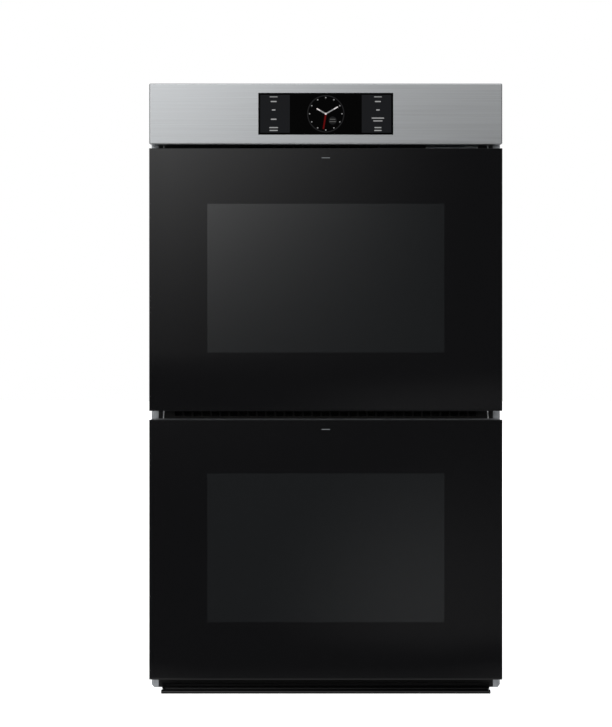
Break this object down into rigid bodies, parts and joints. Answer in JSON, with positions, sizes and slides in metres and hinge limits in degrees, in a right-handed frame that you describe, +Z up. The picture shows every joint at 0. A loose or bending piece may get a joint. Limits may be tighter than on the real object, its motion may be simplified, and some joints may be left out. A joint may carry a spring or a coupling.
{
  "type": "wall oven",
  "caption": "Built-in double wall oven with flush glass drop-down doors, a brushed steel control fascia with a touch display, and a pull-out water reservoir.",
  "frame": {"origin": "centre of the bounding box's footprint, on the plane that the oven stands on", "axes": "+Z up, -Y out of the front towards the room, +X to the viewer's right when facing the doors"},
  "size_m": [0.759, 0.6636, 1.318],
  "materials": {
    "galvanised_steel": "galvanised sheet with a fine spangle",
    "brushed_steel": "stainless, brushed along its length",
    "trim_steel": "grey coated steel, satin",
    "black_steel": "black powder coat, fine texture",
    "enamel": "dark blue porcelain enamel with fine specks, gloss",
    "black_glass": "back-printed black glass, polished",
    "display_glass": "dark touch glass, polished",
    "pane_glass": "clear heat-reflecting glass",
    "lens_glass": "pressed frosted glass",
    "circuit_board": "green solder mask",
    "blower_steel": "galvanised sheet",
    "aluminium": "stamped sheet",
    "motor_steel": "black and grey laminated steel",
    "screw_steel": "zinc plated",
    "black_screw": "black oxide",
    "insulation": "glass wool blanket",
    "gasket": "braided glass fibre rope",
    "element": "oxidised nickel alloy sheath",
    "ceramic": "unglazed steatite",
    "hinge_steel": "zinc plated spring steel",
    "latch_body": "black moulded plastic",
    "rack_wire": "chrome plated wire",
    "tank_plastic": "translucent grey plastic",
    "lid_plastic": "dark grey plastic"
  },
  "bodies": {
    "chassis": {"side_panel_left": "galvanised_steel", "side_panel_right": "galvanised_steel", "back_panel": "galvanised_steel", "top_panel": "galvanised_steel", "base_pan": "galvanised_steel", "middle_deck": "galvanised_steel", "upper_deck": "galvanised_steel", "terminal_box": "galvanised_steel", "control_fascia": "brushed_steel", "side_trim_left": "trim_steel", "side_trim_right": "trim_steel", "front_frame": "black_steel", "bottom_trim": "black_steel", "vent_louvres": "black_steel", "upper_cavity": "enamel", "lower_cavity": "enamel", "fan_covers": "enamel", "control_glass": "display_glass", "lamp_lenses": "lens_glass", "display_module": "circuit_board", "main_board": "circuit_board", "power_board": "circuit_board", "blower_housing": "blower_steel", "blower_motor": "motor_steel", "fan_motors": "motor_steel", "panel_screws": "screw_steel", "trim_screws": "black_screw", "insulation_blankets": "insulation", "door_gaskets": "gasket", "bake_elements": "element", "broil_elements": "element", "ring_elements": "element", "lamp_holders": "ceramic", "hinge_receivers": "hinge_steel", "hinge_arms": "hinge_steel", "temperature_probes": "hinge_steel", "latch_motors": "latch_body"},
    "upper_door": {"upper_door_glass": "black_glass", "upper_door_frame": "black_steel", "upper_door_liner": "enamel", "upper_door_inner_glass": "pane_glass", "upper_door_top_trim": "black_steel", "upper_door_hinges": "hinge_steel"},
    "lower_door": {"lower_door_glass": "black_glass", "lower_door_frame": "black_steel", "lower_door_liner": "enamel", "lower_door_inner_glass": "pane_glass", "lower_door_top_trim": "black_steel", "lower_door_hinges": "hinge_steel"},
    "upper_high_rack_body": {"upper_rack_high": "rack_wire"},
    "upper_low_rack_body": {"upper_rack_low": "rack_wire"},
    "upper_fan_body": {"upper_fan": "aluminium"},
    "upper_latch_body": {"upper_latch_hook": "hinge_steel"},
    "lower_high_rack_body": {"lower_rack_high": "rack_wire"},
    "lower_low_rack_body": {"lower_rack_low": "rack_wire"},
    "lower_fan_body": {"lower_fan": "aluminium"},
    "lower_latch_body": {"lower_latch_hook": "hinge_steel"},
    "blower_wheel_body": {"blower_wheel": "aluminium"},
    "reservoir_drawer": {"water_reservoir": "tank_plastic", "reservoir_lid": "lid_plastic"}
  },
  "joints": [
    {"name": "upper_door_hinge", "type": "hinge", "parent": "chassis", "child": "upper_door", "pos_m": [0, -0.30675, 0.627], "axis": [1, 0, 0], "range_deg": [0, 90], "stiffness_Nm_per_rad": 9, "springref_deg": -17.19},
    {"name": "lower_door_hinge", "type": "hinge", "parent": "chassis", "child": "lower_door", "pos_m": [0, -0.30675, 0.0495], "axis": [1, 0, 0], "range_deg": [0, 90], "stiffness_Nm_per_rad": 9, "springref_deg": -17.19},
    {"name": "upper_high_rack_slide", "type": "slide", "parent": "chassis", "child": "upper_high_rack_body", "axis": [0, -1, 0], "range_m": [0, 0.2515]},
    {"name": "upper_low_rack_slide", "type": "slide", "parent": "chassis", "child": "upper_low_rack_body", "axis": [0, -1, 0], "range_m": [0, 0.2515]},
    {"name": "upper_fan_spin", "type": "hinge", "parent": "chassis", "child": "upper_fan_body", "pos_m": [0, 0.19975, 0.8815], "axis": [0, 1, 0], "continuous": true},
    {"name": "upper_latch_swing", "type": "hinge", "parent": "chassis", "child": "upper_latch_body", "pos_m": [0.092, -0.26525, 1.1365], "axis": [0, 0, 1], "range_deg": [0, 90]},
    {"name": "lower_high_rack_slide", "type": "slide", "parent": "chassis", "child": "lower_high_rack_body", "axis": [0, -1, 0], "range_m": [0, 0.2515]},
    {"name": "lower_low_rack_slide", "type": "slide", "parent": "chassis", "child": "lower_low_rack_body", "axis": [0, -1, 0], "range_m": [0, 0.2515]},
    {"name": "lower_fan_spin", "type": "hinge", "parent": "chassis", "child": "lower_fan_body", "pos_m": [0, 0.19975, 0.304], "axis": [0, 1, 0], "continuous": true},
    {"name": "lower_latch_swing", "type": "hinge", "parent": "chassis", "child": "lower_latch_body", "pos_m": [0.092, -0.26525, 0.559], "axis": [0, 0, 1], "range_deg": [0, 90]},
    {"name": "blower_spin", "type": "hinge", "parent": "chassis", "child": "blower_wheel_body", "pos_m": [0, 0.04475, 1.1917], "axis": [1, 0, 0], "continuous": true},
    {"name": "reservoir_slide", "type": "slide", "parent": "chassis", "child": "reservoir_drawer", "axis": [0, -1, 0], "range_m": [0, 0.1501]}
  ],
  "couplings": [
    {"joint": "upper_high_rack_slide", "follows": "upper_door_hinge", "m_per_rad": 0.16},
    {"joint": "upper_low_rack_slide", "follows": "upper_door_hinge", "m_per_rad": 0.16},
    {"joint": "lower_high_rack_slide", "follows": "lower_door_hinge", "m_per_rad": 0.16},
    {"joint": "lower_low_rack_slide", "follows": "lower_door_hinge", "m_per_rad": 0.16},
    {"joint": "reservoir_slide", "follows": "upper_door_hinge", "m_per_rad": 0.0955}
  ]
}
